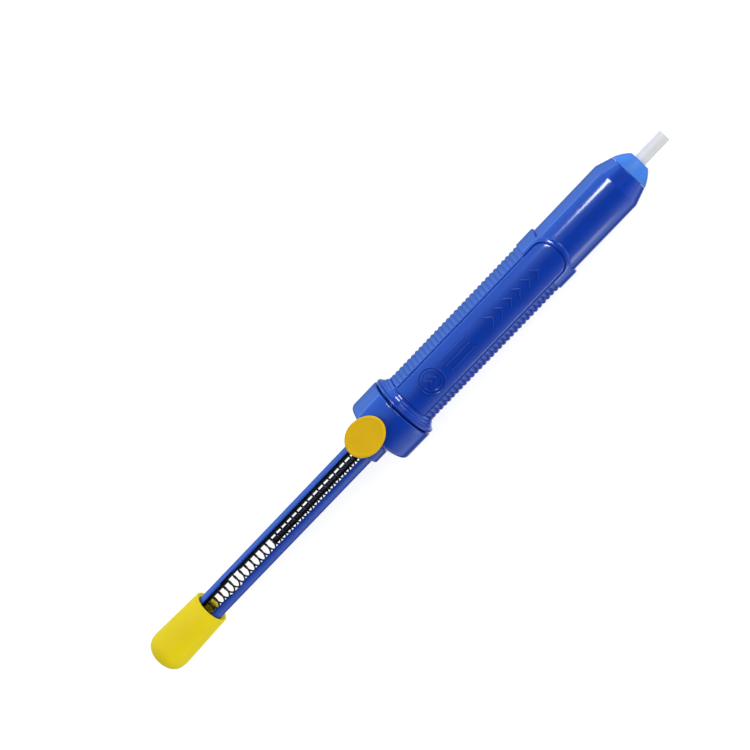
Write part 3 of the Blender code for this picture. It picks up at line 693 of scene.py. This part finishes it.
def make_collar():
    """The collar: its outside from front to rear, its bore and socket, and what is cut into it."""
    shoulder = [(COLLAR_FRONT, COLLAR_RADIUS - 0.55, 0.15), (COLLAR_FRONT - 0.5, COLLAR_RADIUS, 0.35),
                (-14.5, COLLAR_RADIUS, 0.7), (-15.8, 18.0, 0.8), (-16.9, 15.6, 1.2), (-18.0, 11.9, 1.2),
                (-18.9, 10.1, 0.7), (-19.9, BOSS_RADIUS, 0.6)]
    boss = [(COLLAR_REAR, BOSS_RADIUS, 0.5), (COLLAR_REAR, COLLAR_BORE, 0.3)]
    hub = 10.3
    hub_x = (-8.0, -3.2)
    socket_radius = 15.0
    track = 16.8  # the ring-shaped track that the lugs turn in
    track_x = (-6.5, -3.3)
    socket = [(hub_x[1], COLLAR_BORE, 0.2), (hub_x[1], hub, 0.3), (hub_x[0], hub, 0.1),
              (hub_x[0], socket_radius, 0.1), (track_x[0], socket_radius), (track_x[0], track, 0.1),
              (track_x[1], track, 0.1), (track_x[1], socket_radius), (COLLAR_FRONT, socket_radius, 0.3)]
    collar = turned("collar_shell", rounded(shoulder + boss + socket, steps=4), 144, 40, BUTTON_TURN)
    outside = COLLAR_RADIUS + 1
    cut(collar, block("pocket_cut", (POCKET_X[0], -9.15, -outside), (POCKET_X[1], 9.15, 12.3), BUTTON_TURN))
    cut(collar, block("shank_cut", (-17.1, -4.3, 9.9), (-12.5, 4.3, outside), BUTTON_TURN))
    bar = SLOT_HALF_WIDTH
    cut(collar, block("bar_cut", (-8.3, -bar, -10.5), (-4.9, bar, 10.5), BUTTON_TURN))
    cut(collar, post("well_cut", 12.5, outside, 1.85, SPRING_WELL_X, BUTTON_TURN))
    channel_half = 3.6
    for side in (-1, 1):
        inner, outer = sorted((side * 14.6, side * 16.5))
        low = (LUG_X[0], inner, -channel_half)
        high = (COLLAR_FRONT + 1, outer, channel_half)
        cut(collar, block(f"channel_cut_{side:+d}", low, high, RELEASE_TWIST))
    finished(applied(collar, 40), "gloss_blue", "collar_assembly", "gloss_blue", "collar")


def helix(length, radius, turns, wire, closed_turns):
    """A compression spring along +X from 0, whose ends close up: its points and faces about its own axis."""
    points_a_turn = 26
    sides = 10
    count = int(turns * points_a_turn)
    turned_by = [turns * i / count for i in range(count + 1)]
    rises = [0.2 + 0.8 * smoothstep(min(turn, turns - turn) / closed_turns) for turn in turned_by]
    total = sum(rises[1:])
    x = wire
    points = []
    for i, turn in enumerate(turned_by):
        if i:
            x += rises[i] / total * (length - 2 * wire)
        angle = 2 * math.pi * turn
        outward = Vector((0, math.sin(angle), math.cos(angle)))
        for side in range(sides):
            a = 2 * math.pi * side / sides
            offset = outward * (radius + wire * math.cos(a)) + Vector((wire * math.sin(a), 0, 0))
            points.append((x + offset.x, offset.y, offset.z))
    faces = grid_faces(count + 1, sides)
    faces.append(tuple(reversed(range(sides))))
    faces.append(tuple(range(count * sides, (count + 1) * sides)))
    return points, faces


def make_main_spring():
    """The long spring, built back from its front end, the end that stays put when the plunger goes in."""
    length = SPRING_FRONT - SPRING_REAR
    points, faces = helix(length, radius=2.95, turns=40, wire=0.46, closed_turns=1.5)
    spring = new_object("main_spring_coil", [(SPRING_FRONT - x, y, z) for x, y, z in points], faces, 60)
    finished(spring, "blackened_steel", "collar_assembly", "blackened_steel", "main_spring")
    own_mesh(spring)


def make_button_spring():
    """The small spring under the button, built up from its foot, the end that stays put when the button is
    pressed.
    """
    length = SPRING_HEAD - SPRING_FOOT
    points, faces = helix(length, radius=1.35, turns=6, wire=0.2, closed_turns=1.0)
    placed = [TO_BUTTON @ Vector((SPRING_WELL_X + y, z, SPRING_FOOT + x)) for x, y, z in points]
    spring = new_object("button_spring_coil", [tuple(p) for p in placed], faces, 60)
    finished(spring, "blackened_steel", "collar_assembly", "blackened_steel", "button_spring")
    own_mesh(spring)


# ---------------------------------------------------------------- button

def egg():
    """The button's outline from above: its front half is longer than its rear half."""
    steps = 96
    outline = []
    for i in range(steps):
        angle = 2 * math.pi * i / steps
        half = BUTTON_FRONT_HALF if math.cos(angle) > 0 else BUTTON_REAR_HALF
        outline.append((BUTTON_X + half * math.cos(angle), BUTTON_HALF_WIDTH * math.sin(angle)))
    return outline


def inset(outline, distance):
    """A smooth closed outline moved inwards."""
    moved = []
    for i, here in enumerate(outline):
        along = (Vector(outline[(i + 1) % len(outline)]) - Vector(outline[i - 1])).normalized()
        moved.append(tuple(Vector(here) + Vector((-along.y, along.x)) * distance))
    return moved


def make_button():
    """The cap, from its underside over its rounded edge to a shallow dish, with its shank, peg and tab."""
    outline = egg()
    face = 23.5
    under = 21.1
    dish = 0.10
    rings = [(0.35, under), (0.12, under + 0.08), (0.0, under + 0.35), (0.0, face - 0.95),
             (0.04, face - 0.7), (0.14, face - 0.46), (0.34, face - 0.24), (0.62, face - 0.08),
             (0.9, face), (1.15, face - 0.03), (1.45, face - dish)]  # (inset from the outline, height)
    points = []
    for distance, height in rings:
        points += [(x, y, height) for x, y in inset(outline, distance)]
    last = inset(outline, rings[-1][0])
    middle = -17.3
    shares = (0.8, 0.55, 0.3)  # of the way out from the middle
    for share in shares:
        height = face - dish + 0.03 * (1 - share)
        points += [(middle + (x - middle) * share, y * share, height) for x, y in last]
    count = len(outline)
    faces = grid_faces(len(rings) + len(shares), count)
    faces.append(tuple(reversed(range(count))))
    top = (len(rings) + len(shares) - 1) * count
    faces.append(tuple(range(top, top + count)))
    button = new_object("button_cap", [tuple(TO_BUTTON @ Vector(p)) for p in points], faces, 40)
    root = under + 0.8  # how far up into the cap the shank and the peg reach
    cut(button, block("shank", (-16.8, -4.0, 12.3), (-12.8, 4.0, root), BUTTON_TURN, 0.25), "UNION")
    cut(button, post("peg", 18.3, root, 0.8, SPRING_WELL_X, BUTTON_TURN), "UNION")
    cut(button, block("tab_cut", (POCKET_X[0], -2.8, 11.0), (POCKET_X[1], 2.8, 17.3), BUTTON_TURN))
    finished(applied(button, 40), "button_yellow", "button", "button_yellow", "release_button")


# ---------------------------------------------------------------- plunger

def make_shaft():
    """The slotted shaft with the barb for the knob, the notch for the latch and a bulkhead in front."""
    barb = [(-158.2, SHAFT_RADIUS), (-158.6, 7.85, 0.1), (-160.6, SHAFT_RADIUS)]
    piston_hole = 4.6
    bulkhead = 3.0
    outline = [(SHAFT_FRONT, piston_hole, 0.15), (SHAFT_FRONT, SHAFT_RADIUS, 0.4), *barb,
               (SHAFT_REAR, 6.55, 0.1), (SHAFT_REAR, ROD_HOLE), (bulkhead, ROD_HOLE),
               (bulkhead, piston_hole, 0.1)]
    shaft = turned("shaft_rails", rounded(outline, steps=3), 128, 40, BUTTON_TURN)
    reach = SHAFT_RADIUS + 1
    low = (SHAFT_REAR - 1, -SLOT_HALF_WIDTH, -reach)
    high = (SLOT_FRONT, SLOT_HALF_WIDTH, reach)
    cut(shaft, block("slot_cut", low, high, BUTTON_TURN))
    cut(shaft, notch_block("notch_cut", reach))
    applied(shaft, 40)
    bevel = shaft.modifiers.new("Edges", "BEVEL")
    bevel.width = 0.22 * MM
    bevel.segments = 2
    bevel.limit_method = "ANGLE"
    bevel.angle_limit = math.radians(50)
    bevel.use_clamp_overlap = True
    finished(applied(shaft, 40), "shaft_blue", "plunger", "gloss_blue", "plunger_shaft")
    shade_slot(shaft)


def shade_slot(shaft):
    """Darkens the walls of the shaft's slot, which no light reaches between the rails and the spring."""
    shaft.data.materials.append(MATERIALS["slot_shade"])
    from_button = TO_BUTTON.transposed()
    for face in shaft.data.polygons:
        normal = from_button @ face.normal
        middle = from_button @ (face.center - Vector((0, 0, AXIS * MM))) / MM
        if abs(normal.y) > 0.5 and middle.y * normal.y < 0 and abs(middle.y) < NOTCH_HALF_WIDTH + 0.2:
            face.material_index = 1


def notch_block(name, reach):
    """The cutter of the latch notch, whose ends slope into the slot."""
    slope = 0.9
    inner = SLOT_HALF_WIDTH - 0.15
    rear, front = NOTCH_X
    half = [(rear - slope / 2, 0), (rear - slope / 2, inner), (rear + slope / 2, NOTCH_HALF_WIDTH),
            (front - slope / 2, NOTCH_HALF_WIDTH), (front + slope / 2, inner), (front + slope / 2, 0)]
    outline = half + [(x, -y) for x, y in reversed(half[1:-1])]
    points = [tuple(TO_BUTTON @ Vector((x, y, z))) for z in (-reach, reach) for x, y in outline]
    count = len(outline)
    faces = grid_faces(2, count) + [tuple(range(count)), tuple(range(count, 2 * count))]
    return new_object(name, points, faces)


def make_knob():
    """The knob, from the spigot inside the spring out over its hollow and mouth to its domed end."""
    hollow = 7.6
    hollow_rear = -162.8
    mouth = -142.1
    spigot_front = -146.0
    spigot = 2.0
    groove = 8.2  # for the shaft's barb
    inside = [(spigot_front, 0), (spigot_front, spigot, 0.5), (hollow_rear, spigot, 0.2),
              (hollow_rear, hollow, 0.3), (-161.0, hollow), (-161.0, groove), (-158.1, groove),
              (-157.8, hollow), (mouth - 0.8, hollow, 0.2), (mouth, 9.25, 0.1)]
    outside = [(mouth, 9.8, 0.15), (-174.2, 11.05, 2.0), (-177.4, 10.4, 1.4), (-179.7, 8.8, 1.3),
               (-181.2, 6.4, 1.0), (KNOB_REAR, 3.9, 1.0), (KNOB_REAR, 0)]
    knob = turned("knob_body", rounded(inside + outside, closed=False), 128, 40)
    finished(knob, "yellow_plastic", "plunger", "yellow_plastic", "knob")


def make_guide_rod():
    rod = [(ROD_FRONT, 0), (ROD_FRONT, ROD_RADIUS, 0.25), (ROD_REAR, ROD_RADIUS, 0.5), (ROD_REAR, 0)]
    bar = turned("guide_rod_bar", rounded(rod, closed=False), 40, 40)
    finished(bar, "blackened_steel", "plunger", "blackened_steel", "guide_rod")


def make_piston():
    """The piston with its O-ring groove, the spigot that plugs into the shaft and a hole for the pin."""
    rear = 23.3
    front = 34.7
    hole = 1.75
    spigot = 4.3
    spigot_rear = rear - 10
    groove = 8.2
    groove_rear = PISTON_SEAL_X - PISTON_SEAL_HALF
    groove_front = PISTON_SEAL_X + PISTON_SEAL_HALF
    outline = [(front, hole, 0.1), (front, PISTON_RADIUS, 0.5), (groove_front, PISTON_RADIUS, 0.1),
               (groove_front, groove, 0.2), (groove_rear, groove, 0.2), (groove_rear, PISTON_RADIUS, 0.1),
               (rear, PISTON_RADIUS, 0.5), (rear, spigot, 0.3), (spigot_rear, spigot, 0.4),
               (spigot_rear, hole, 0.1)]
    piston = turned("piston_body", rounded(outline, steps=3), 96, 40)
    finished(piston, "piston_plastic", "plunger", "piston_plastic", "piston")


def make_cleaning_pin():
    """The pin, from its pointed tip to its thicker threaded base."""
    tip = 77.5
    pin = 1.0
    base = 1.45
    base_front = 40.3
    base_rear = 13.6
    outline = [(tip, 0), (tip, 0.3, 0.1), (tip - 2, pin, 0.4), (base_front + 0.5, pin, 0.1),
               (base_front, base, 0.1), (base_rear, base, 0.1), (base_rear, 0)]
    bar = turned("cleaning_pin_bar", rounded(outline, closed=False, steps=3), 40, 40)
    finished(bar, "bright_steel", "plunger", "bright_steel", "cleaning_pin")


def dress_cad_nodes():
    """The small steel and rubber parts keep their CAD meshes, with rounded edges and a finish."""
    finishes = {"spring_stop_bar": "bright_steel", "latch_plate": "bright_steel", "rod_nut": "bright_steel",
                "stop_bumper": "rubber", "piston_washer": "bright_steel", "pin_nut": "bright_steel"}
    for name, finish in finishes.items():
        node = frame["nodes"][name]
        node.data.materials.clear()
        node.data.materials.append(MATERIALS[finish])
        bevel = node.modifiers.new("Edges", "BEVEL")
        bevel.width = 0.15 * MM
        bevel.segments = 2
        bevel.limit_method = "ANGLE"
        bevel.angle_limit = math.radians(40)


# ---------------------------------------------------------------- floor, light and camera

def make_floor():
    """A matt floor that also gives off light of its own, so that it stays near white round a soft shadow."""
    half = 3.0
    grey = 0.3
    glow = 0.84
    mesh = bpy.data.meshes.new("floor")
    corners = [(-half, -half, 0), (half, -half, 0), (half, half, 0), (-half, half, 0)]
    mesh.from_pydata(corners, [], [(0, 1, 2, 3)])
    floor = linked("floor", mesh)
    material, nodes, _ = principled("floor_white")
    shader = nodes["Principled BSDF"]
    shader.inputs["Base Color"].default_value = (grey, grey, grey, 1)
    shader.inputs["Roughness"].default_value = 0.9
    shader.inputs["Specular IOR Level"].default_value = 0.0
    shader.inputs["Emission Color"].default_value = (1, 1, 1, 1)
    shader.inputs["Emission Strength"].default_value = glow
    floor.data.materials.append(material)
    floor.visible_glossy = False  # the pump mirrors the world below the horizon instead


def make_world():
    """Light from all round, by the angle about X from +Z towards +Y, and a white backdrop for the camera.

    It is dark overhead, blue below the horizon on the +Y side, and white or a cool white elsewhere.
    """
    world = bpy.data.worlds.new("studio")
    world.use_nodes = True
    nodes, links = world.node_tree.nodes, world.node_tree.links
    where = nodes.new("ShaderNodeTexCoord")
    parts = nodes.new("ShaderNodeSeparateXYZ")
    angle = nodes.new("ShaderNodeMath")
    angle.operation = "ARCTAN2"
    spread = nodes.new("ShaderNodeMapRange")
    spread.inputs["From Min"].default_value = -math.pi
    spread.inputs["From Max"].default_value = math.pi
    ramp = nodes.new("ShaderNodeValToRGB")
    white = (1, 1, 1)
    cool = (0.82, 1.03, 1.2)
    blue = (0.27, 0.52, 1)
    below_left = [(-180, 0.5), (-165, 0.9), (-155, 0.60), (-145, 0.25), (-134, 0.06)]
    left = [(-125, 0.20), (-115, 0.75), (-104, 1.40), (-85, 1.0), (-70, 0.80), (-58, 0.45)]
    overhead = [(-42, 0.12), (-30, 0.05), (20, 0.05), (40, 0.12), (86, 0.15)]
    below_right = [(91, 4.8), (106, 4.6), (120, 3.3), (142, 1.6), (160, 0.7)]
    below = [(180, 0.5)]
    spans = [(below_left, white), (left, cool), (overhead, white), (below_right, blue), (below, white)]
    stops = [(degrees, bright, tint) for span, tint in spans for degrees, bright in span]
    elements = ramp.color_ramp.elements
    elements.remove(elements[1])
    for i, (degrees, bright, tint) in enumerate(stops):
        element = elements.new(degrees / 360 + 0.5) if i else elements[0]
        element.color = (*(bright * share for share in tint), 1)
    links.new(where.outputs["Generated"], parts.inputs["Vector"])
    links.new(parts.outputs["Y"], angle.inputs[0])
    links.new(parts.outputs["Z"], angle.inputs[1])
    links.new(angle.outputs["Value"], spread.inputs["Value"])
    links.new(spread.outputs["Result"], ramp.inputs["Fac"])
    links.new(ramp.outputs["Color"], nodes["Background"].inputs["Color"])
    backdrop = nodes.new("ShaderNodeBackground")  # what the camera sees beyond the floor
    backdrop.inputs["Color"].default_value = (1, 1, 1, 1)
    rays = nodes.new("ShaderNodeLightPath")
    choice = nodes.new("ShaderNodeMixShader")
    links.new(rays.outputs["Is Camera Ray"], choice.inputs[0])
    links.new(nodes["Background"].outputs["Background"], choice.inputs[1])
    links.new(backdrop.outputs["Background"], choice.inputs[2])
    links.new(choice.outputs["Shader"], nodes["World Output"].inputs["Surface"])
    bpy.context.scene.world = world


def area_light(name, place, target, size, radiance, glossy=True, diffuse=True, shape="RECTANGLE",
               colour=(1, 1, 1)):
    """A flat light at a place, facing a target, with its first side level and its radiance in W/m2/sr."""
    light = bpy.data.lights.new(name, "AREA")
    light.shape = shape
    light.color = colour
    light.size, light.size_y = size
    area = size[0] * size[1] * (math.pi / 4 if shape == "ELLIPSE" else 1)
    light.energy = radiance * math.pi * area
    obj = linked(name, light)
    obj.location = place
    back = (Vector(place) - Vector(target)).normalized()
    level = Vector((1, 0, 0))
    level = (level - back * level.dot(back)).normalized()
    obj.rotation_mode = "QUATERNION"
    obj.rotation_quaternion = Matrix((level, back.cross(level), back)).transposed().to_quaternion()
    obj.visible_glossy = glossy
    obj.visible_diffuse = diffuse


def at_angle(x, degrees, distance):
    """A place in the plane at x, at an angle about X from +Z towards +Y."""
    angle = math.radians(degrees)
    return x, distance * math.sin(angle), AXIS * MM + distance * math.cos(angle)


def make_panels():
    """The lights that show as reflections only, so that they don't brighten the floor."""
    softbox_x = 0.31
    area_light("softbox", at_angle(softbox_x, 41, 1.1), (softbox_x, 0, 0.02), (0.44, 0.42), 24.0,
               diffuse=False, shape="ELLIPSE")
    left_x = -0.01
    area_light("left_panel", at_angle(left_x, -85, 1.0), (left_x, 0, 0.02), (0.24, 0.36), 2.3, diffuse=False)
    right_x = 0.1
    right_distance = 1.2
    right_end = 94
    for start in (6, 16, 26, 38, 52, 68):  # overlapping panels, so that the light grows towards the horizon
        middle = (start + right_end) / 2
        height = 2 * right_distance * math.tan(math.radians(right_end - middle))
        area_light(f"right_panel_{start}", at_angle(right_x, middle, right_distance), (right_x, 0, 0.02),
                   (1.8, height), 0.73, diffuse=False, colour=(0.14, 0.37, 1))
    area_light("front_panel", (1.2, 0.05, 0.22), (0.16, 0, 0.02), (0.5, 0.35), 3.5, diffuse=False)


def make_fills():
    """The soft lights that don't show as reflections."""
    area_light("top_fill", at_angle(-0.1, 24, 1.2), (-0.05, 0, 0), (1.6, 1.0), 2.1, glossy=False)
    area_light("left_fill", at_angle(0.0, -70, 1.1), (0, 0, 0.02), (1.2, 0.6), 1.2, glossy=False)
    area_light("front_fill", (1.1, 0.1, 0.6), (0.1, 0, 0.02), (0.8, 0.8), 4.2, glossy=False)


def make_camera():
    """The photograph's view: from above the nozzle's end, rolled so that the pump lies across it."""
    camera = bpy.data.cameras.new("camera")
    camera.lens = 77.6
    camera.sensor_width = 36
    camera.clip_start = 0.01
    camera.clip_end = 20
    tilt = math.radians(11.2)  # how far the view leans along the pump
    roll = math.radians(46.45)
    about_x = Matrix.Rotation(-math.radians(3.2), 3, "X")
    across = Vector((math.cos(tilt), 0, -math.sin(tilt)))
    up = Vector((0, 1, 0))
    back = Vector((math.sin(tilt), 0, math.cos(tilt)))
    right = across * math.cos(roll) - up * math.sin(roll)
    upward = across * math.sin(roll) + up * math.cos(roll)
    place = Vector(((158.3 + DATUM) * MM, 0.021, 0.781))
    obj = linked("camera", camera)
    obj.rotation_mode = "QUATERNION"
    obj.rotation_quaternion = (about_x @ Matrix((right, upward, back)).transposed()).to_quaternion()
    obj.location = about_x @ place + Vector((0, 0, AXIS * MM))
    bpy.context.scene.camera = obj


make_barrel()
make_marks()
make_nose()
make_seal("nose_cap_seal", NOSE_SEAL_X, 7.5, 0.5, "barrel_assembly", "nose_cap_oring")
make_seal("nozzle_seal", NOZZLE_SEAL_X, 3.98, 0.45, "barrel_assembly", "nozzle_oring")
make_collar()
make_main_spring()
make_button_spring()
make_button()
make_shaft()
make_knob()
make_guide_rod()
make_piston()
make_cleaning_pin()
make_seal("piston_seal", PISTON_SEAL_X, 9.4, 0.95, "plunger", "piston_oring")
dress_cad_nodes()
make_floor()
make_world()
make_panels()
make_fills()
make_camera()
bpy.context.scene.view_settings.view_transform = "Standard"
